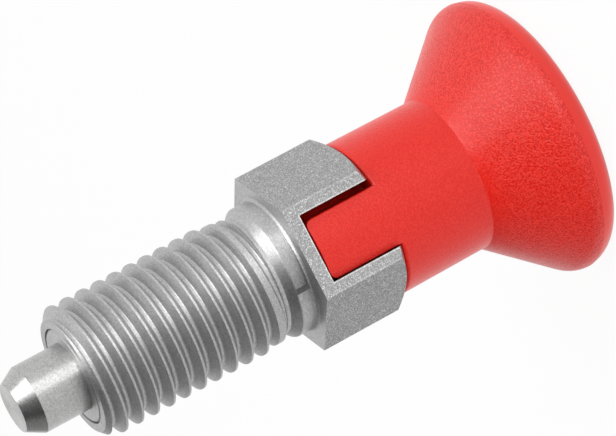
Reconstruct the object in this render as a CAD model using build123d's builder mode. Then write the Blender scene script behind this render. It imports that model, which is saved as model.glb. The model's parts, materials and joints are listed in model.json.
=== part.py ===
"""Lock-out indexing plunger: threaded body, guide bush, index pin, spring and pull knob.

The plunger stands on its knob.  +Z runs along the axis towards the tip of the index pin, and
the origin is the centre of the seat face, where the hexagon bears on the machine plate.
The lock-out slot of the hexagon opens towards -Y and +Y.  All sizes are in millimetres.
"""

import os
from math import asin, cos, degrees, radians, sin, tan

from build123d import *

os.makedirs("parts", exist_ok=True)

# ---------------------------------------------------------------- threaded body
thread_dia = 11.9          # crests of the outside thread
sleeve_length = 20.0       # seat face to the open end of the sleeve
thread_lead_in = 0.85      # 45 degree chamfer where the thread starts
hex_across_flats = 13.9
hex_height = 8.0
hex_chamfer_angle = 30.0   # turned on the knob side only
bore_dia = 8.7             # holds the bush and the spring
web_above_seat = 1.0       # the web closes the bore round the seat plane ...
web_below_seat = 1.2       # ... and its other side is the floor of the slot
slot_width = 6.1
hub_bore_dia = 9.8         # the round hub of the knob turns in here

# between the thread and the seat: run-out, undercut and a collar, all turned
runout_dia = 11.42         # the last thread turns are turned down to this
runout_end = 4.4           # seat face to the end of the run-out
undercut_dia = 10.5
undercut_width = 0.32      # its flat floor; both of its sides are at 45 degrees
collar_height = 1.55       # seat face to the pin side of the collar
collar_round = 0.25
seat_fillet = 0.3          # root fillet on the seat face
notch_depth = 0.5          # ratchet-shaped notch in the collar: a ramp that ends at a wall
notch_rim = 0.05           # of the collar left on the pin side of the notch
notch_start = -66.0        # plan angles; -90 is the -Y face
notch_deepest = -114.0
notch_wall_top = -116.5

# ---------------------------------------------------------------- guide bush
bush_length = 4.0
bush_edge_chamfer = 0.25

# ---------------------------------------------------------------- index pin
pin_dia = 6.0
pin_reach = 5.6            # how far the pin stands out of the sleeve
pin_lead_length = 1.5      # lead-in cone at the tip
pin_lead_depth = 0.84
flange_thickness = 1.3     # stop flange behind the bush
stem_dia = 4.0
stem_grip_length = 12.5    # length of stem held in the knob, past the hub end
grip_groove_count = 4      # ring grooves that the knob is moulded into
grip_groove_pitch = 2.0
grip_groove_width = 0.8
grip_groove_depth = 0.35

# ---------------------------------------------------------------- spring
wire_dia = 0.7
active_coils = 4.0
closed_coil_gap = 0.03

# ---------------------------------------------------------------- pull knob
neck_dia = 14.0
neck_end_dia = 13.88       # slight draft down to the foot of the flare
neck_length = 8.6
shoulder_round = 0.3       # soft corner of the neck beside the hexagon
tongue_corner = 0.7
tongue_edge_round = 0.2
knob_dia = 25.1
rim_radius = 1.97
flare_length = 7.3         # foot of the flare to the widest circle
parting_step = 0.05        # the mould halves part at the widest circle
hub_chamfer = 0.4

# ---------------------------------------------------------------- clearances
flange_fit = 0.4           # radial, stop flange in the bore
spring_fit = 0.55          # radial, spring in the bore
slot_play = 0.8            # width of the slot less that of the tongue
wall_gap = 0.09            # tongue to the wall of the slot that it rests near
pin_fit = 0.02             # radial, pin in bush
bush_fit = 0.005           # radial, bush in the bore
stem_fit = 0.08            # radial, stem in the web
knob_on_stem = 0.05        # radial, knob on the stem
hub_fit = 0.15             # radial, hub in its bore
stop_gap = 0.03            # flange to bush
tongue_end_gap = 0.18      # tongue and hub to the floor of the slot
shoulder_gap = 0.12        # neck shoulder to the end of the hexagon
spring_seat_gap = 0.02

# ---------------------------------------------------------------- sizes that follow
thread_radius = thread_dia / 2
runout_radius = runout_dia / 2
undercut_radius = undercut_dia / 2
undercut_start = collar_height + thread_radius - undercut_radius
undercut_end = undercut_start + undercut_width
notch_top = collar_height - notch_rim
bore_radius = bore_dia / 2
stem_radius = stem_dia / 2
pin_radius = pin_dia / 2
neck_radius = neck_dia / 2
flange_radius = bore_radius - flange_fit
coil_radius = bore_radius - spring_fit - wire_dia / 2
tongue_width = slot_width - slot_play
tongue_turn = -degrees(asin((slot_play / 2 - wall_gap) / neck_radius))
hex_end = -hex_height
slot_floor = -web_below_seat
bush_bottom = sleeve_length - bush_length
flange_top = bush_bottom - stop_gap
flange_bottom = flange_top - flange_thickness
pin_tip = sleeve_length + pin_reach
tongue_top = slot_floor - tongue_end_gap
shoulder = hex_end - shoulder_gap
tongue_foot = shoulder - 2 * shoulder_round    # the neck is straight down to here
neck_bottom = shoulder - neck_length
widest = neck_bottom - flare_length
knob_bottom = widest - rim_radius
stem_bottom = tongue_top - stem_grip_length
clear_of_body = hex_across_flats    # a radius outside everything on the body


def polar(radius, angle):
    """Point on a circle round the axis, for a plan angle in degrees."""
    return (radius * cos(radians(angle)), radius * sin(radians(angle)))


# ================================================================ threaded body
# One turned piece of hexagon bar: sleeve, collar, seat face, slotted hexagon and three bores.
with BuildPart() as threaded_body:
    with BuildSketch(Plane.XY.offset(hex_end)):
        RegularPolygon(radius=hex_across_flats / 2, side_count=6, major_radius=False)
    extrude(amount=hex_height)

    # turned chamfer that takes the corners off the knob end of the hexagon
    chamfer_start = hex_across_flats / 2
    chamfer_rise = (clear_of_body - chamfer_start) * tan(radians(hex_chamfer_angle))
    with BuildSketch(Plane.XZ):
        with BuildLine():
            Polyline(
                (chamfer_start, hex_end),
                (clear_of_body, hex_end),
                (clear_of_body, hex_end + chamfer_rise),
                close=True,
            )
        make_face()
    revolve(axis=Axis.Z, mode=Mode.SUBTRACT)

    # sleeve with its lead-in chamfer, run-out, undercut, collar and root fillet
    with BuildSketch(Plane.XZ) as sleeve_half:
        with BuildLine():
            Line((0, 0), (thread_radius + seat_fillet, 0))
            RadiusArc((thread_radius + seat_fillet, 0), (thread_radius, seat_fillet), seat_fillet)
            Polyline(
                (thread_radius, seat_fillet),
                (thread_radius, collar_height),
                (undercut_radius, undercut_start),
                (undercut_radius, undercut_end),
                (runout_radius, undercut_end + runout_radius - undercut_radius),
                (runout_radius, runout_end),
                (thread_radius, runout_end + thread_radius - runout_radius),
                (thread_radius, sleeve_length - thread_lead_in),
                (thread_radius - thread_lead_in, sleeve_length),
                (0, sleeve_length),
                (0, 0),
            )
        make_face()
        collar_corner = sleeve_half.vertices().sort_by_distance((thread_radius, collar_height))[0]
        fillet(collar_corner, radius=collar_round)
    revolve(axis=Axis.Z)

    # notch in the collar: the ramp leads down to a nearly radial wall
    notch_foot = polar(thread_radius - notch_depth, notch_deepest)
    ramp_middle = polar(thread_radius - 0.7 * notch_depth, (notch_start + notch_deepest) / 2)
    with BuildSketch(Plane.XY.offset(seat_fillet)):
        with BuildLine():
            ThreePointArc(polar(thread_radius, notch_start), ramp_middle, notch_foot)
            Polyline(
                notch_foot,
                polar(thread_radius, notch_wall_top),
                polar(clear_of_body, notch_wall_top),
                polar(clear_of_body, notch_start),
                polar(thread_radius, notch_start),
            )
        make_face()
    extrude(amount=notch_top - seat_fillet, mode=Mode.SUBTRACT)

    # bore for bush and spring, slot and hub bore from the other end, and the web between
    with BuildSketch(Plane.XY.offset(web_above_seat)):
        Circle(bore_radius)
    extrude(amount=sleeve_length, mode=Mode.SUBTRACT)
    with BuildSketch(Plane.XY.offset(hex_end)):
        Circle(hub_bore_dia / 2)
        Rectangle(slot_width, 2 * clear_of_body)
    extrude(amount=slot_floor - hex_end, mode=Mode.SUBTRACT)
    with BuildSketch(Plane.XY.offset(slot_floor)):
        Circle(stem_radius + stem_fit)
    extrude(amount=web_above_seat - slot_floor, mode=Mode.SUBTRACT)

threaded_body.part.label = "threaded_body"
export_step(threaded_body.part, "parts/threaded_body.step")


# ================================================================ guide bush
# Hardened ring, pressed into the open end, that the pin runs in.
with BuildPart() as guide_bush:
    bush_inner = pin_radius + pin_fit
    bush_outer = bore_radius - bush_fit
    with BuildSketch(Plane.XZ):
        with BuildLine():
            Polyline(
                (bush_inner, bush_bottom),
                (bush_outer, bush_bottom),
                (bush_outer, sleeve_length - bush_edge_chamfer),
                (bush_outer - bush_edge_chamfer, sleeve_length),
                (bush_inner, sleeve_length),
                close=True,
            )
        make_face()
    revolve(axis=Axis.Z)

guide_bush.part.label = "guide_bush"
export_step(guide_bush.part, "parts/guide_bush.step")


# ================================================================ index pin
# Ground pin with a lead-in cone, a stop flange, and a stem grooved for the knob's grip.
with BuildPart() as index_pin:
    with BuildSketch(Plane.XZ):
        with BuildLine():
            Polyline(
                (0, stem_bottom),
                (stem_radius, stem_bottom),
                (stem_radius, flange_bottom),
                (flange_radius, flange_bottom),
                (flange_radius, flange_top),
                (pin_radius, flange_top),
                (pin_radius, pin_tip - pin_lead_length),
                (pin_radius - pin_lead_depth, pin_tip),
                (0, pin_tip),
                close=True,
            )
        make_face()
        for groove_number in range(grip_groove_count):
            groove_height = stem_bottom + (groove_number + 1) * grip_groove_pitch
            with Locations((stem_radius, groove_height)):
                Rectangle(2 * grip_groove_depth, grip_groove_width, mode=Mode.SUBTRACT)
    revolve(axis=Axis.Z)

index_pin.part.label = "index_pin"
export_step(index_pin.part, "parts/index_pin.step")


# ================================================================ spring
# Compression spring between the web and the flange, with a closed coil at each end.
with BuildPart() as spring:
    lowest_wire = web_above_seat + spring_seat_gap + wire_dia / 2
    highest_wire = flange_bottom - spring_seat_gap - wire_dia / 2
    closed_pitch = wire_dia + closed_coil_gap
    active_length = highest_wire - lowest_wire - 2 * closed_pitch
    active_pitch = active_length / active_coils
    coil_foot = lowest_wire
    for pitch, height in (
        (closed_pitch, closed_pitch),
        (active_pitch, active_length),
        (closed_pitch, closed_pitch),
    ):
        coil = Helix(pitch, height, coil_radius, center=(0, 0, coil_foot))
        with BuildSketch(Plane(origin=coil @ 0, z_dir=coil % 0)):
            Circle(wire_dia / 2)
        sweep(path=coil)
        coil_foot += height

spring.part.label = "spring"
export_step(spring.part, "parts/spring.step")


# ================================================================ pull knob
# The tongue: a bar across the slot with soft edges, trimmed to the round of the neck.
with BuildPart() as tongue:
    with BuildSketch(Plane.XY.offset(tongue_foot)) as tongue_plan:
        Circle(neck_radius)
        Rectangle(tongue_width, 2 * neck_dia, rotation=tongue_turn, mode=Mode.INTERSECT)
        fillet(tongue_plan.vertices(), radius=tongue_edge_round)
    extrude(amount=tongue_top - tongue_foot)
    with BuildSketch(Plane.XZ.rotated((0, 0, tongue_turn))) as tongue_front:
        with Locations((0, (tongue_top + tongue_foot) / 2)):
            Rectangle(tongue_width, tongue_top - tongue_foot)
        fillet(tongue_front.vertices().group_by(Axis.Y)[-1], radius=tongue_corner)
    extrude(amount=neck_dia, both=True, mode=Mode.INTERSECT)

# One moulding: mushroom flare, neck, and the hub and tongue that reach into the hexagon.
with BuildPart() as pull_knob:
    hub_radius = hub_bore_dia / 2 - hub_fit
    rim_centre = knob_dia / 2 - rim_radius
    flare_foot = Vector(neck_end_dia / 2, neck_bottom)
    # the flare is the straight line from the foot that just touches the rounded rim
    to_rim = Vector(rim_centre, widest) - flare_foot
    tangent_length = (to_rim.length**2 - rim_radius**2) ** 0.5
    outward = Vector(-to_rim.Y, to_rim.X)
    rim_start = flare_foot + (to_rim * tangent_length + outward * rim_radius) * (
        tangent_length / to_rim.length**2
    )
    widest_point = (knob_dia / 2, widest)
    step_point = (knob_dia / 2 - parting_step, widest)
    with BuildSketch(Plane.XZ) as knob_half:
        with BuildLine():
            Polyline(
                (0, tongue_top),
                (hub_radius - hub_chamfer, tongue_top),
                (hub_radius, tongue_top - hub_chamfer),
                (hub_radius, shoulder),
                (neck_radius, shoulder),
                (neck_radius, tongue_foot),
                flare_foot,
                rim_start,
            )
            TangentArc(rim_start, widest_point, tangent=rim_start - flare_foot)
            Line(widest_point, step_point)
            rim = RadiusArc(step_point, (rim_centre, knob_bottom), rim_radius)
            Polyline(rim @ 1, (0, knob_bottom), (0, tongue_top))
        make_face()
        neck_corner = knob_half.vertices().sort_by_distance((neck_radius, shoulder))[0]
        fillet(neck_corner, radius=shoulder_round)
    revolve(axis=Axis.Z)
    add(tongue.part)
    # blind hole that the stem is held in
    with BuildSketch(Plane.XY.offset(tongue_top)):
        Circle(stem_radius + knob_on_stem)
    extrude(amount=-(stem_grip_length + knob_on_stem), mode=Mode.SUBTRACT)

pull_knob.part.label = "pull_knob"
export_step(pull_knob.part, "parts/pull_knob.step")
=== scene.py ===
# %% [markdown]
# # A lock-out indexing plunger
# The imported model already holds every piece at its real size.  This lesson gives the pieces
# their finish, cuts the real thread, winds a fine spring, and lights the part in a small studio.
# Everything is in metres, and +Z runs along the plunger towards the tip of its pin.

# %% Load the fixed frame
import json
import math

import bmesh
import bpy
from mathutils import Matrix, Vector

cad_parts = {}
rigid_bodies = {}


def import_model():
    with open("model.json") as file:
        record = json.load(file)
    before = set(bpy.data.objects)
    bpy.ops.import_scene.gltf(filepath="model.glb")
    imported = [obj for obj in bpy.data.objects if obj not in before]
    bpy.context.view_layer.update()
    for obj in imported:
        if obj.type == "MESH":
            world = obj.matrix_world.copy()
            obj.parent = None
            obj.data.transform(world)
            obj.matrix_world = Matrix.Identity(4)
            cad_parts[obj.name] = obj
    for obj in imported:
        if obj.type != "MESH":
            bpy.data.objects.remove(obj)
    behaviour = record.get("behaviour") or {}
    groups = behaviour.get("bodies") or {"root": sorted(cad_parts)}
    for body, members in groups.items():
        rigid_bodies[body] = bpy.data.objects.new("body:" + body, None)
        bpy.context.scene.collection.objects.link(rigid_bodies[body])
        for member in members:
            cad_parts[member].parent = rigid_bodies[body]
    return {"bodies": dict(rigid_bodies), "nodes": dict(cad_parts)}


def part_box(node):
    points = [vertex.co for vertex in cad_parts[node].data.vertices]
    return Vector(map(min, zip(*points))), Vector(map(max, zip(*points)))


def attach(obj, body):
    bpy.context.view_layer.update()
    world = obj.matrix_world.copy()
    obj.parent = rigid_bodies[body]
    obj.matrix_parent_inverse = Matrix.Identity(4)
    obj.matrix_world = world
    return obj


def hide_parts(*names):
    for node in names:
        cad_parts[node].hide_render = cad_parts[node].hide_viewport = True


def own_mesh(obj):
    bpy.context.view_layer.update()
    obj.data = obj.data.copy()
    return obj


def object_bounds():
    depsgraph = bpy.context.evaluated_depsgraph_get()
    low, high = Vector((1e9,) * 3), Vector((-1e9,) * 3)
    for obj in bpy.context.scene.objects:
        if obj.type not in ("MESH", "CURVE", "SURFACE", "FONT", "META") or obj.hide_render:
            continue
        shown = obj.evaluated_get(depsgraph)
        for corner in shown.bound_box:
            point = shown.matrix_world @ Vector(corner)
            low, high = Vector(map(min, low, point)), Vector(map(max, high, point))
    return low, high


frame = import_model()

nodes = frame["nodes"]
cad_low, cad_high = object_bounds()
MM = 0.001
print("pieces in the frame:", sorted(nodes))

# %% [markdown]
# ## Camera
# A long lens at 0.3 m keeps the taper of perspective small, which suits a small machine part.
# A constraint could aim the camera, but it would keep it level.  Here the camera's three axes
# are worked out and put into one matrix, so that it can be rolled as well: the upright plunger
# then lies across the picture, with its pin at the lower left.

# %% Helpers for objects and directions


def add_object(name, data):
    """A new object, linked into the scene."""
    thing = bpy.data.objects.new(name, data)
    bpy.context.scene.collection.objects.link(thing)
    return thing


def direction_to(azimuth, elevation):
    """Unit vector in degrees: azimuth goes from -Y towards +X, elevation from level up."""
    turn, rise = math.radians(azimuth), math.radians(elevation)
    return Vector((
        math.sin(turn) * math.cos(rise), -math.cos(turn) * math.cos(rise), math.sin(rise),
    ))


print("half way up over the front:", [round(v, 2) for v in direction_to(0, 45)])

# %% Place the camera
VIEW_AZIMUTH = 1.956           # degrees, and so are the next two
VIEW_ELEVATION = 18.417
VIEW_ROLL = -118.208
VIEW_DISTANCE = 305.224 * MM
AIM_POINT = Vector((2.340, -1.153, -3.701)) * MM
LENS_MM = 215.62
SENSOR_MM = 36


def make_camera():
    """Camera that looks at the aim point from the chosen direction."""
    back = direction_to(VIEW_AZIMUTH, VIEW_ELEVATION)
    level_right = direction_to(VIEW_AZIMUTH + 90, 0)
    level_up = back.cross(level_right)
    roll = math.radians(VIEW_ROLL)
    right = level_right * math.cos(roll) + level_up * math.sin(roll)
    up = back.cross(right)
    data = bpy.data.cameras.new("studio_camera")
    data.sensor_width = SENSOR_MM
    data.lens = LENS_MM
    data.clip_start = 1 * MM
    data.clip_end = 10
    camera = add_object("studio_camera", data)
    turn = Matrix((right, up, back)).transposed().to_4x4()
    camera.matrix_world = Matrix.Translation(AIM_POINT + back * VIEW_DISTANCE) @ turn
    bpy.context.scene.camera = camera
    return camera


camera = make_camera()
print("camera at", [round(v / MM, 1) for v in camera.location], "mm")

# %% [markdown]
# ## Helpers for nodes
# Each finish is a tree of shader nodes.  The trees could be drawn by hand in the shader editor,
# but written out they can be read and changed.  These helpers only save typing: they add a
# node, set or link its inputs by name, do one step of arithmetic, and start a node group.

# %% Add, set and link nodes


def plug(tree, value, socket):
    """Links an output socket to an input, or sets the input's own value."""
    if isinstance(value, bpy.types.NodeSocket):
        tree.links.new(value, socket)
    else:
        socket.default_value = value


def set_inputs(tree, node, **inputs):
    """Sets or links the inputs of a node by name, with _ in place of a space."""
    for key, value in inputs.items():
        plug(tree, value, node.inputs[key.replace("_", " ")])


def add_node(tree, kind, settings=None, **inputs):
    """Adds a node, sets its properties, and sets or links its inputs."""
    node = tree.nodes.new(kind)
    for key, value in (settings or {}).items():
        setattr(node, key, value)
    set_inputs(tree, node, **inputs)
    return node


def math_node(tree, operation, first, second=None):
    """One step of arithmetic, and its result socket."""
    node = add_node(tree, "ShaderNodeMath", {"operation": operation})
    plug(tree, first, node.inputs[0])
    if second is not None:
        plug(tree, second, node.inputs[1])
    return node.outputs[0]


def object_place(tree):
    """The point on the surface, in the object's own coordinates."""
    return add_node(tree, "ShaderNodeTexCoord").outputs["Object"]


def new_group(name, inputs, outputs):
    """An empty node group with float inputs: (group, its input node, its output node)."""
    group = bpy.data.node_groups.new(name, "ShaderNodeTree")
    for socket_name, default in inputs:
        socket = group.interface.new_socket(
            socket_name, in_out="INPUT", socket_type="NodeSocketFloat",
        )
        socket.default_value = default
    for socket_name in outputs:
        group.interface.new_socket(socket_name, in_out="OUTPUT", socket_type="NodeSocketFloat")
    return group, group.nodes.new("NodeGroupInput"), group.nodes.new("NodeGroupOutput")


print("node helpers ready")

# %% [markdown]
# ## Shared effect: lathe marks
# A turned or ground surface keeps very fine rings round the axis.  A wave texture would draw
# them too evenly.  One noise texture that is read with (radius, height) instead of (x, y, z) is
# the same all round, so it gives rings on faces, cylinders and cones alike.  A little of the
# sideways place goes in as well, which lets the rings come and go.

# %% Lathe marks group


def make_lathe_marks():
    """Rings round the Z axis; Spacing is the rough distance between rings, in millimetres."""
    group, start, end = new_group(
        "lathe_marks", [("Spacing", 0.06), ("Waviness", 0.3)], ["Rings"],
    )
    x, y, z = add_node(group, "ShaderNodeSeparateXYZ", Vector=object_place(group)).outputs
    flat = add_node(group, "ShaderNodeCombineXYZ", X=x, Y=y)
    radius = add_node(group, "ShaderNodeVectorMath", {"operation": "LENGTH"})
    plug(group, flat.outputs[0], radius.inputs[0])
    drift = math_node(group, "MULTIPLY", start.outputs["Waviness"], 0.02)
    rings = add_node(
        group, "ShaderNodeCombineXYZ",
        X=radius.outputs["Value"], Y=z, Z=math_node(group, "MULTIPLY", x, drift),
    )
    noise = add_node(
        group, "ShaderNodeTexNoise", {"noise_dimensions": "3D"}, Vector=rings.outputs[0],
        Scale=math_node(group, "DIVIDE", 1 / MM, start.outputs["Spacing"]),
        Detail=2.0, Roughness=0.6,
    )
    set_inputs(group, end, Rings=noise.outputs[0])
    return group


lathe_marks = make_lathe_marks()
print("group", lathe_marks.name, "with", len(lathe_marks.nodes), "nodes")

# %% [markdown]
# ## Shared effect: fine pits
# Blasting leaves a skin of tiny facets that each catch the light on their own.  A noise alone
# is too soft for that.  A cell texture gives every facet its own random value with a sharp
# edge, and a noise that is a little wider than the cells gives the depth of the pits.

# %% Fine pits group


def make_fine_pits():
    """Random facets and pits; Size is the rough width of a facet, in millimetres."""
    group, start, end = new_group("fine_pits", [("Size", 0.1)], ["Facets", "Height"])
    place = object_place(group)
    density = math_node(group, "DIVIDE", 1 / MM, start.outputs["Size"])
    cells = add_node(group, "ShaderNodeTexVoronoi", Vector=place, Scale=density)
    tone = add_node(group, "ShaderNodeSeparateColor", Color=cells.outputs["Color"])
    pits = add_node(
        group, "ShaderNodeTexNoise",
        Vector=place, Scale=math_node(group, "MULTIPLY", density, 0.6), Detail=1.0,
    )
    set_inputs(group, end, Facets=tone.outputs[0], Height=pits.outputs[0])
    return group


fine_pits = make_fine_pits()
print("group", fine_pits.name, "with", len(fine_pits.nodes), "nodes")

# %% [markdown]
# ## Helpers for materials
# Every material here is one Principled shader with a few nodes before it.  A ramp turns a
# value into greys or colours, a mix lays one colour over another, and a bump tilts the surface
# for the light without moving it.

# %% Ramps, mixes, groups and bumps


def new_material(name):
    """A material with only a Principled shader in it: (material, tree, shader)."""
    material = bpy.data.materials.new(name)
    material.use_nodes = True
    tree = material.node_tree
    return material, tree, tree.nodes["Principled BSDF"]


def place_group(tree, group, **values):
    """Puts a node group into a material, with its own values."""
    return add_node(tree, "ShaderNodeGroup", {"node_tree": group}, **values)


def ramp_node(tree, value, stops):
    """A colour ramp through (position, grey) or (position, rgb) stops, and its colour socket."""
    node = tree.nodes.new("ShaderNodeValToRGB")
    elements = node.color_ramp.elements
    while len(elements) < len(stops):
        elements.new(0.5)
    for element, (position, colour) in zip(elements, stops):
        element.position = position
        rgb = colour if isinstance(colour, tuple) else (colour,) * 3
        element.color = (*rgb, 1)
    plug(tree, value, node.inputs[0])
    return node.outputs[0]


def mix_colour(tree, factor, first, second, blend="MIX"):
    """Mixes two colours, and gives the result socket."""
    node = add_node(tree, "ShaderNodeMix", {"data_type": "RGBA", "blend_type": blend})
    plug(tree, factor, node.inputs[0])
    for value, socket in ((first, node.inputs[6]), (second, node.inputs[7])):
        plug(tree, (*value, 1) if isinstance(value, tuple) else value, socket)
    return node.outputs[2]


def add_bump(tree, shader, height, strength, depth):
    """Bumps the surface by a height between 0 and 1 that stands for depth in millimetres."""
    bump = add_node(
        tree, "ShaderNodeBump", Strength=strength, Distance=depth * MM, Height=height,
    )
    set_inputs(tree, shader, Normal=bump.outputs[0])


print("material helpers ready")

# %% [markdown]
# ## Finish: blasted steel, for the flats of the hexagon
# The flats keep the dull, sparkling skin of blasted bar.  Each facet has its own grey and its
# own gloss, and the pits drive the bump.  A bright, broken line a tenth of a millimetre wide is
# painted round the slot, and a fainter one on the corners of the hexagon: these are painted edge
# highlights, for the light that the sharp edges catch.  Such a line could be modelled as a tiny
# bevel, but a mask that is worked out from the place on the body keeps the edges as they are,
# and can be broken up by the facets.

# %% Sizes of the painted edge highlight
HEXAGON_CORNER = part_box("threaded_body")[1].x    # radius over the corners
SLOT_HALF_WIDTH = 3.05 * MM
SLOT_FLOOR = -1.2 * MM
NEAR_FLATS = 6.9 * MM          # just inside the two flats that the slot cuts
# Width of the painted edge highlight on the slot's edges and the hexagon's corners.
EDGE_HIGHLIGHT_WIDTH = 0.11 * MM
print("edge_highlight", round(EDGE_HIGHLIGHT_WIDTH / MM, 2), "mm wide, corners at", round(HEXAGON_CORNER / MM, 3), "mm")

# %% Blasted steel
# The next two values paint edge highlights: a faint bright line on the hexagon's corners, and a
# bright colour on the slot's edges.
CORNER_HIGHLIGHT = 0.35
EDGE_HIGHLIGHT_COLOUR = (0.78, 0.78, 0.78)
FACET_GREYS = [(0.0, 0.29), (0.6, 0.39), (0.88, 0.49), (1.0, 0.76)]


def painted_edge_highlights(tree):
    """Strength of the painted edge highlight: faint on the hexagon's corners, strong round each
    slot, else 0.
    """
    x, y, z = add_node(tree, "ShaderNodeSeparateXYZ", Vector=object_place(tree)).outputs
    radius = math_node(tree, "SQRT", math_node(
        tree, "ADD", math_node(tree, "MULTIPLY", x, x), math_node(tree, "MULTIPLY", y, y),
    ))
    corner = math_node(tree, "GREATER_THAN", radius, HEXAGON_CORNER - EDGE_HIGHLIGHT_WIDTH / 2)
    beside = math_node(tree, "SUBTRACT", math_node(tree, "ABSOLUTE", x), SLOT_HALF_WIDTH)
    above = math_node(tree, "SUBTRACT", z, SLOT_FLOOR)
    near = math_node(tree, "LESS_THAN", math_node(tree, "MAXIMUM", beside, above), EDGE_HIGHLIGHT_WIDTH)
    front = math_node(tree, "GREATER_THAN", math_node(tree, "ABSOLUTE", y), NEAR_FLATS)
    return math_node(
        tree, "MAXIMUM", math_node(tree, "MULTIPLY", corner, CORNER_HIGHLIGHT),
        math_node(tree, "MULTIPLY", near, front),
    )


def make_blasted_steel():
    """Dull steel with sparkling facets, and painted edge highlights that the facets break up."""
    material, tree, shader = new_material("blasted_steel")
    pits = place_group(tree, fine_pits, Size=0.075)
    facets = pits.outputs["Facets"]
    broken = ramp_node(tree, facets, [(0.0, 0.3), (1.0, 0.9)])
    # Painted edge highlight, broken up by the facets.
    edge_highlight = math_node(tree, "MULTIPLY", painted_edge_highlights(tree), broken)
    rough = add_node(tree, "ShaderNodeMapRange", Value=facets, To_Min=0.66, To_Max=0.50)
    set_inputs(
        tree, shader, Metallic=1.0, Roughness=rough.outputs[0],
        Base_Color=mix_colour(tree, edge_highlight, ramp_node(tree, facets, FACET_GREYS), EDGE_HIGHLIGHT_COLOUR),
    )
    add_bump(tree, shader, pits.outputs["Height"], strength=0.7, depth=0.02)
    return material


blasted_steel = make_blasted_steel()
print("material", blasted_steel.name)

# %% [markdown]
# ## Finish: turned, ground and milled steel, with painted shade on the notch's wall
# A cutting tool leaves bright metal with rings.  The rings spread each highlight along the
# axis: the shader's tangent runs round the axis, and a quarter turn of the anisotropy sets
# the spread at right angles to it.  The same rings go weakly into the colour and the bump, and
# the facets of the fine pits darken single specks.  One function serves four metals.  The
# sleeve is turned, the pin is ground, so that its rings are finer and its spread is longer, the
# wall that the cutter left in the collar's notch is dull and painted dark as the shade in the
# notch, and the spring is drawn wire.

# %% Turned, ground, milled and drawn steel, the milled wall with painted shade


def make_turned_steel(name, colour, spacing, depth, rough, stretch, grain):
    """Bright metal with rings; spacing and depth of a ring are in millimetres.

    Stretch is the anisotropy, and grain is how much the darkest specks take off the colour.
    """
    material, tree, shader = new_material(name)
    marks = place_group(tree, lathe_marks, Spacing=spacing, Waviness=0.4)
    rings = marks.outputs["Rings"]
    darker = tuple(channel * 0.86 for channel in colour)
    tint = ramp_node(tree, rings, [(0.3, darker), (0.7, colour)])
    skin = place_group(tree, fine_pits, Size=0.08)
    speck = ramp_node(tree, skin.outputs["Facets"], [(0.0, 1 - grain), (1.0, 1.0)])
    around = add_node(tree, "ShaderNodeTangent", {"direction_type": "RADIAL", "axis": "Z"})
    set_inputs(
        tree, shader, Base_Color=mix_colour(tree, 1.0, tint, speck, "MULTIPLY"),
        Metallic=1.0, Roughness=rough, Anisotropic=stretch, Anisotropic_Rotation=0.25,
        Tangent=around.outputs[0],
    )
    add_bump(tree, shader, rings, strength=0.4, depth=depth)
    return material


turned_steel = make_turned_steel(
    "turned_steel", (0.62, 0.62, 0.62),
    spacing=0.07, depth=0.003, rough=0.46, stretch=0.35, grain=0.34,
)
ground_steel = make_turned_steel(
    "ground_steel", (0.61, 0.61, 0.605),
    spacing=0.03, depth=0.0008, rough=0.32, stretch=0.6, grain=0.34,
)
# Painted shade: the notch's wall gets a dark grey colour that stands in for the shade in the
# notch; its high roughness is the real dull milled finish.
milled_steel_painted_shade = make_turned_steel(
    "milled_steel_painted_shade", (0.16, 0.16, 0.16),
    spacing=0.07, depth=0.003, rough=0.60, stretch=0.0, grain=0.3,
)
spring_steel = make_turned_steel(
    "spring_steel", (0.45, 0.45, 0.46),
    spacing=0.2, depth=0.002, rough=0.30, stretch=0.0, grain=0.1,
)
print("metals:", [m.name for m in (turned_steel, ground_steel, milled_steel_painted_shade, spring_steel)])

# %% [markdown]
# ## Finish: red moulded plastic
# The knob is a tough technical plastic, dyed through.  The mould was spark-eroded down to its
# parting edge at the widest circle: the grain is a tangle of short worms, strong on the flare
# and fine on the neck.  Past the parting edge the plastic is smooth and a little paler.  The
# worms are only hundredths of a millimetre deep.  To push the mesh itself in and out would
# take millions of faces, so they are a bump, and they also tint the colour a little.

# %% Red plastic
PARTING_HEIGHT = -24.02 * MM   # the grain ends here, at the widest circle
FLARE_HEIGHT = -16.72 * MM     # the neck turns into the flare here
NECK_GRAIN = 0.35              # grain on the neck, as a share of that on the flare
GRAIN_GROWS = FLARE_HEIGHT + 0.3 * MM
GRAIN_FULL = FLARE_HEIGHT - 1.5 * MM
WORM_SCALE = 7000.0
WORM_COLOURS = [
    (0.0, (0.66, 0.006, 0.002)), (0.5, (0.75, 0.012, 0.004)), (1.0, (0.83, 0.040, 0.025)),
]
SMOOTH_RED = (0.80, 0.034, 0.022)


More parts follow.
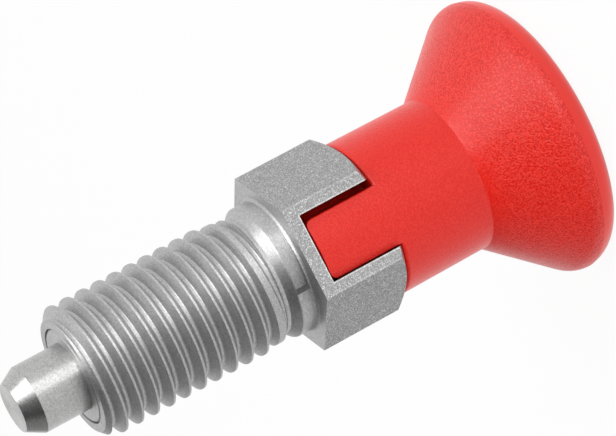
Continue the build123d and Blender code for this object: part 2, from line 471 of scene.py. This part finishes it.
def make_red_plastic():
    """Red plastic with a grain down to the parting edge, and smooth past it."""
    material, tree, shader = new_material("red_plastic")
    place = object_place(tree)
    height = add_node(tree, "ShaderNodeSeparateXYZ", Vector=place).outputs[2]
    grained = math_node(tree, "GREATER_THAN", height, PARTING_HEIGHT)
    on_flare = add_node(
        tree, "ShaderNodeMapRange", Value=height,
        From_Min=GRAIN_GROWS, From_Max=GRAIN_FULL, To_Min=NECK_GRAIN, To_Max=1.0,
    )
    strength = math_node(tree, "MULTIPLY", grained, on_flare.outputs[0])
    worms = add_node(
        tree, "ShaderNodeTexNoise", Vector=place, Scale=WORM_SCALE, Detail=0.0, Distortion=0.6,
    )
    grain = add_node(
        tree, "ShaderNodeMapRange", Value=worms.outputs[0], From_Min=0.38, From_Max=0.62,
    ).outputs[0]
    tone = math_node(tree, "MULTIPLY", math_node(tree, "SUBTRACT", grain, 0.5), strength)
    colour = ramp_node(tree, math_node(tree, "ADD", tone, 0.5), WORM_COLOURS)
    set_inputs(
        tree, shader, Base_Color=mix_colour(tree, grained, SMOOTH_RED, colour),
        Roughness=0.29, Specular_IOR_Level=0.42,
    )
    add_bump(
        tree, shader, math_node(tree, "MULTIPLY", grain, strength), strength=1.0, depth=0.027,
    )
    return material


red_plastic = make_red_plastic()
print("material", red_plastic.name)

# %% [markdown]
# ## Thread
# The solid model has a plain cylinder where the real body is threaded.  A bump could draw the
# grooves, but the teeth show along both sides of the sleeve, so they have to be real.  A real
# thread is cut, and the same is done here: a closed helical cutter with the thread's 60 degree
# section is wound round the sleeve and subtracted.  Over a little more than half a turn at its
# foot the cutter is lifted out, so that the groove gets shallow where it meets the undercut.

# %% Thread sizes
THREAD_PITCH = 1.5 * MM
THREAD_RADIUS = 5.95 * MM
THREAD_DEPTH = 0.6134 * THREAD_PITCH
CREST_FLAT = THREAD_PITCH / 8
ROOT_FLAT = THREAD_PITCH / 4
GROOVE_PHASE = 0.33 * MM       # height of the groove's middle on the +X side
CUT_START = 2.3 * MM           # lowest point of the run-out, over the undercut
RUN_OUT_TURNS = 0.6
EXTRA_TURNS = 1.5              # cut past the end of the sleeve
LIFT_MARGIN = 0.05 * MM        # how far the cutter clears the crests at its foot
STEPS_PER_TURN = 120
SLEEVE_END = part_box("threaded_body")[1].z
print("thread", round(THREAD_DEPTH / MM, 3), "mm deep, up to", round(SLEEVE_END / MM, 2), "mm")

# %% Section of the cutter
ROOT_ROUND = 0.04 * MM
EDGE_ROUND = 0.01 * MM         # breaks the sharp edge of each crest
EDGE_WIDENING = 0.004 * MM
CUTTER_OUTSIDE = 2.0 * MM      # how far the cutter stands out of the sleeve


def cutter_section():
    """Closed section of the groove, as (radius, height from its middle) points."""
    half_top = (THREAD_PITCH - CREST_FLAT) / 2
    root = THREAD_RADIUS - THREAD_DEPTH
    half = [
        (root, ROOT_FLAT / 4),
        (root + ROOT_ROUND, ROOT_FLAT / 2),
        (THREAD_RADIUS, half_top),
        (THREAD_RADIUS + EDGE_ROUND, half_top + EDGE_WIDENING),
        (THREAD_RADIUS + CUTTER_OUTSIDE, half_top + EDGE_WIDENING),
    ]
    return half + [(radius, -height) for radius, height in reversed(half)]


section = cutter_section()
print("cutter section of", len(section), "points")

# %% Wind the cutter


def sweep_object(name, rings):
    """Closed object: each ring of points is joined to the next, and both ends are capped."""
    mesh = bmesh.new()
    rows = [[mesh.verts.new(point) for point in ring] for ring in rings]
    for low, high in zip(rows, rows[1:]):
        for i in range(len(low)):
            j = (i + 1) % len(low)
            mesh.faces.new((low[i], low[j], high[j], high[i]))
    mesh.faces.new(rows[0][::-1])
    mesh.faces.new(rows[-1])
    bmesh.ops.recalc_face_normals(mesh, faces=mesh.faces)
    data = bpy.data.meshes.new(name)
    mesh.to_mesh(data)
    mesh.free()
    return add_object(name, data)


def cutter_rings():
    """The section at each step of the helix, lifted out of the sleeve over the run-out."""
    first_turn = (CUT_START - GROOVE_PHASE) / THREAD_PITCH
    last_turn = (SLEEVE_END - GROOVE_PHASE) / THREAD_PITCH + EXTRA_TURNS
    rings = []
    for step in range(int((last_turn - first_turn) * STEPS_PER_TURN) + 1):
        turn = first_turn + step / STEPS_PER_TURN
        middle = GROOVE_PHASE + turn * THREAD_PITCH
        angle = turn * math.tau
        left = max(0.0, 1 - (turn - first_turn) / RUN_OUT_TURNS)
        lift = left * (THREAD_DEPTH + LIFT_MARGIN)
        rings.append([
            (
                (radius + lift) * math.cos(angle),
                (radius + lift) * math.sin(angle),
                middle + height,
            )
            for radius, height in section
        ])
    return rings


thread_cutter = sweep_object("thread_cutter", cutter_rings())
print("thread cutter:", len(thread_cutter.data.polygons), "faces")

# %% Cut the thread
WELD_DISTANCE = 0.0005 * MM


def cut_thread(cutter):
    """A copy of the body's solid, with the cutter subtracted from it."""
    body = add_object("threaded_body_cut", nodes["threaded_body"].data.copy())
    weld = bmesh.new()
    weld.from_mesh(body.data)
    bmesh.ops.remove_doubles(weld, verts=weld.verts, dist=WELD_DISTANCE)
    weld.to_mesh(body.data)
    weld.free()
    cut = body.modifiers.new("cut", "BOOLEAN")
    cut.operation = "DIFFERENCE"
    cut.solver = "EXACT"
    cut.object = cutter
    evaluated = body.evaluated_get(bpy.context.evaluated_depsgraph_get())
    result = bpy.data.meshes.new_from_object(evaluated)
    body.modifiers.clear()
    body.data = result
    bpy.data.objects.remove(cutter)
    return body


threaded_body = cut_thread(thread_cutter)
print("threaded body:", len(threaded_body.data.polygons), "faces")

# %% [markdown]
# ## Faces by finish
# The body is one piece of steel with three finishes.  It could be split into three objects,
# but every seam would show, so each face is given a material instead.  Faces that stand upright
# outside the sleeve, below the seat face, are the blasted flats.  The end wall of the notch in
# the collar faces along the circle; the cutter left it dull, and its dark grey colour is painted
# shade.  All the rest was turned.

# %% Give each face of the body its finish
TURNED, BLASTED, MILLED_PAINTED_SHADE = range(3)
FLATS_OUTSIDE = THREAD_RADIUS + 0.4 * MM
NOTCH_LOW, NOTCH_HIGH = 0.3 * MM, 1.5 * MM
UPRIGHT_FACE = 0.2             # most that the normal of an upright face points up or down
WALL_FACE = 0.6                # least that the normal of the notch's wall points sideways


def around_axis(point):
    """Directions outwards and sideways at a point, for a frame round the axis."""
    outwards = Vector((point.x, point.y, 0)).normalized()
    return outwards, Vector((-outwards.y, outwards.x, 0))


def finish_of(face):
    """Which of the three finishes a face of the body has."""
    middle = face.center
    outside = math.hypot(middle.x, middle.y) > FLATS_OUTSIDE
    if outside and middle.z < 0 and abs(face.normal.z) < UPRIGHT_FACE:
        return BLASTED
    sideways_part = face.normal.dot(around_axis(middle)[1])
    # The notch's wall: dull milled steel, painted dark as shade.
    if NOTCH_LOW < middle.z < NOTCH_HIGH and abs(sideways_part) > WALL_FACE:
        return MILLED_PAINTED_SHADE
    return TURNED


def finish_body(body):
    """Gives the body its three materials, and each face one of them."""
    body.data.materials.clear()
    for material in (turned_steel, blasted_steel, milled_steel_painted_shade):
        body.data.materials.append(material)
    counts = [0, 0, 0]
    for face in body.data.polygons:
        face.material_index = finish_of(face)
        face.use_smooth = True
        counts[face.material_index] += 1
    print("turned, blasted and milled faces:", counts)


finish_body(threaded_body)

# %% [markdown]
# ## Smooth shading of the thread
# The cut leaves long thin faces round the thread.  Blender's own smooth shading would average
# their normals into streaks, and would round the sharp edges off.  So every corner of a face
# gets its own normal.  By default it is the mean over those faces at the corner that turn off
# by little, weighted by their area.  On the thread, each surface is wound round the axis, so
# the normal of a face keeps the same outward, sideways and upward parts all along it, and each
# corner gets those three parts, turned to its own angle.

# %% Smooth the body
THREAD_FOOT = 2.2 * MM
SHARP_ANGLE = math.radians(28)
LEVEL_FACE = 0.99              # upward part of the normal of a face that lies level


def smooth_corners(mesh):
    """Corner normals averaged by area over those faces round a vertex that turn off little."""
    around = [[] for _ in mesh.vertices]
    for face in mesh.polygons:
        for vertex in face.vertices:
            around[vertex].append(face)
    normals = [None] * len(mesh.loops)
    limit = math.cos(SHARP_ANGLE)
    for face in mesh.polygons:
        for corner in face.loop_indices:
            total = Vector((0, 0, 0))
            for other in around[mesh.loops[corner].vertex_index]:
                if other.normal.dot(face.normal) > limit:
                    total += other.normal * other.area
            normals[corner] = total.normalized() if total.length else face.normal.copy()
    return normals


def smooth_body(body):
    """Sets the corner normals of the whole body, and winds those of the thread."""
    mesh = body.data
    normals = smooth_corners(mesh)
    wound = 0
    for face in mesh.polygons:
        if face.center.z < THREAD_FOOT or abs(face.normal.z) > LEVEL_FACE:
            continue
        wound += 1
        outwards, sideways = around_axis(face.center)
        outward_part, sideways_part = face.normal.dot(outwards), face.normal.dot(sideways)
        upward = Vector((0, 0, face.normal.z))
        for corner in face.loop_indices:
            vertex = mesh.vertices[mesh.loops[corner].vertex_index]
            outwards, sideways = around_axis(vertex.co)
            normals[corner] = outwards * outward_part + sideways * sideways_part + upward
    mesh.normals_split_custom_set(normals)
    print("faces smoothed round the axis:", wound)


smooth_body(threaded_body)
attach(threaded_body, "body")
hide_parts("threaded_body")

# %% [markdown]
# ## Spring
# A compression spring is one wire, with a tight turn at each end and open turns between.  A
# curve with a round bevel would do, but its number of faces and its caps are easier to rule in
# a mesh, so the round section is swept along the helix by the same helper as the cutter.  As
# the knob is pulled the flange comes down on the spring.

# %% Wind the spring
WIRE_RADIUS = 0.35 * MM
CLOSED_TURNS = 1.0             # at each end
OPEN_TURNS = 4.0
CLOSED_PITCH = 2 * WIRE_RADIUS + 0.03 * MM
COIL_STEPS = 40                # in one turn
WIRE_SIDES = 14
spring_low, spring_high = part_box("spring")


def spring_rings():
    """The round section of the wire at each step along the coil."""
    coil_radius = spring_high.x - WIRE_RADIUS
    height = spring_low.z + WIRE_RADIUS
    open_length = spring_high.z - WIRE_RADIUS - height - 2 * CLOSED_PITCH * CLOSED_TURNS
    open_pitch = open_length / OPEN_TURNS
    rings = []
    for step in range(int((CLOSED_TURNS * 2 + OPEN_TURNS) * COIL_STEPS) + 1):
        turn = step / COIL_STEPS
        if step:
            closed = turn <= CLOSED_TURNS or turn > CLOSED_TURNS + OPEN_TURNS
            height += (CLOSED_PITCH if closed else open_pitch) / COIL_STEPS
        angle = turn * math.tau
        outward = Vector((math.cos(angle), math.sin(angle), 0))
        centre = outward * coil_radius + Vector((0, 0, height))
        rings.append([
            centre + WIRE_RADIUS * (
                outward * math.cos(side * math.tau / WIRE_SIDES)
                + Vector((0, 0, math.sin(side * math.tau / WIRE_SIDES)))
            )
            for side in range(WIRE_SIDES)
        ])
    return rings


coil_spring = sweep_object("coil_spring", spring_rings())
coil_spring.data.materials.append(spring_steel)
for face in coil_spring.data.polygons:
    face.use_smooth = len(face.vertices) == 4
print("spring:", len(coil_spring.data.polygons), "faces")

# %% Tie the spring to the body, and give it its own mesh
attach(coil_spring, "body")
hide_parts("spring")
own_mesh(coil_spring)

# %% [markdown]
# ## Pieces that keep their solid shape
# The pin, the bush and the knob have their true form in the frame.  They could be built again
# with finer faces, but their rounds are smooth enough, so they only get a finish.

# %% Finish the other pieces
finishes = {"index_pin": ground_steel, "guide_bush": turned_steel, "pull_knob": red_plastic}
for name, material in finishes.items():
    nodes[name].data.materials.clear()
    nodes[name].data.materials.append(material)
    print(name, "in", material.name)

# %% [markdown]
# ## Floor
# The plunger stands on the flat top of its knob.  The floor is a wide pale sheet, tied to the
# knob's body so that it stays under the knob when the knob is pulled.  A lamp strong enough to
# turn it white would bleach the part as well.  So the rays that come from the camera, from
# gloss or through glass see a plain white glow mixed in, and the rest shows the part's shadow.

# %% Floor
FLOOR_HALF = 3.0
FLOOR_GLOW = 0.94              # share of the glow in what those rays see


def make_floor():
    """Square sheet at the lowest point of the part."""
    material, tree, shader = new_material("pale_floor")
    set_inputs(tree, shader, Base_Color=(0.9, 0.9, 0.9, 1), Roughness=0.9)
    glow = add_node(tree, "ShaderNodeEmission", Color=(1, 1, 1, 1), Strength=1.0)
    path = add_node(tree, "ShaderNodeLightPath").outputs
    seen = math_node(tree, "MAXIMUM", path["Is Camera Ray"], path["Is Glossy Ray"])
    seen = math_node(tree, "MAXIMUM", seen, path["Is Transmission Ray"])
    blend = add_node(tree, "ShaderNodeMixShader")
    plug(tree, math_node(tree, "MULTIPLY", seen, FLOOR_GLOW), blend.inputs[0])
    plug(tree, shader.outputs[0], blend.inputs[1])
    plug(tree, glow.outputs[0], blend.inputs[2])
    plug(tree, blend.outputs[0], tree.nodes["Material Output"].inputs["Surface"])
    data = bpy.data.meshes.new("studio_floor")
    signs = ((-1, -1), (1, -1), (1, 1), (-1, 1))
    corners = [(x * FLOOR_HALF, y * FLOOR_HALF, cad_low.z) for x, y in signs]
    data.from_pydata(corners, [], [(0, 1, 2, 3)])
    data.materials.append(material)
    floor = add_object("studio_floor", data)
    floor.parent = frame["bodies"]["knob"]
    return floor


make_floor()
print("floor at", round(cad_low.z / MM, 2), "mm")

# %% [markdown]
# ## Light
# The key lamp stands on the +X side and lights everything.  Plastic and metal then want
# different help.  The front lamp draws the bright bands on the metal and would bleach the knob,
# so only glossy rays see it.  The fill lamp opens the knob's shaded side and would flatten the
# metal, so only diffuse rays see it.  The surround is pale, with a dark round patch above the
# front and a dim side at -X: polished metal needs something dark to reflect, or it looks like
# paper.

# %% Lamps
LAMP_DISTANCE = 0.5


def add_area_lamp(name, azimuth, elevation, size, watts, diffuse=True, gloss=True):
    """A square soft lamp that faces the origin; size in metres, both angles in degrees."""
    data = bpy.data.lights.new(name, "AREA")
    data.size = size
    data.energy = watts
    lamp = add_object(name, data)
    lamp.visible_diffuse = diffuse
    lamp.visible_glossy = gloss
    toward = direction_to(azimuth, elevation)
    lamp.location = toward * LAMP_DISTANCE
    lamp.rotation_euler = toward.to_track_quat("Z", "Y").to_euler()
    print(name, round(watts, 2), "W")


add_area_lamp("key_lamp", 56, 52, size=0.33, watts=1.35)
add_area_lamp("front_lamp", 24, 12, size=0.34, watts=1.4, diffuse=False)
add_area_lamp("fill_lamp", -46, 20, size=0.40, watts=1.0, gloss=False)

# %% Surround
DARK_LEVEL = 0.12
DIM_LEVEL = 0.35
# Each patch has a direction, and greys by the cosine of the angle away from it.
DARK_PATCH = (
    (-0.24, -0.41, 0.88), [(0.0, 1.0), (0.64, 0.8), (0.82, DARK_LEVEL), (1.0, DARK_LEVEL)],
)
DIM_SIDE = ((-0.95, 0.1, 0.1), [(0.25, 1.0), (0.7, DIM_LEVEL), (1.0, DIM_LEVEL)])


def patch_grey(tree, direction, toward, stops):
    """Grey of the surround for one patch, by how near a direction is to its middle."""
    angle = add_node(tree, "ShaderNodeVectorMath", {"operation": "DOT_PRODUCT"})
    plug(tree, direction, angle.inputs[0])
    plug(tree, Vector(toward).normalized(), angle.inputs[1])
    return ramp_node(tree, angle.outputs["Value"], stops)


def make_surround():
    """Pale world with a dark round patch in it, and a dim side."""
    world = bpy.data.worlds.new("studio_surround")
    bpy.context.scene.world = world
    world.use_nodes = True
    tree = world.node_tree
    direction = add_node(tree, "ShaderNodeTexCoord").outputs["Generated"]
    dark = patch_grey(tree, direction, *DARK_PATCH)
    dim = patch_grey(tree, direction, *DIM_SIDE)
    set_inputs(
        tree, tree.nodes["Background"], Strength=1.0,
        Color=mix_colour(tree, 1.0, dark, dim, "MULTIPLY"),
    )
    return world


print("world", make_surround().name)

# %% Picture settings
bpy.context.scene.view_settings.view_transform = "Standard"
print("view transform", bpy.context.scene.view_settings.view_transform)

# %% Update the scene and finish
bpy.context.view_layer.update()
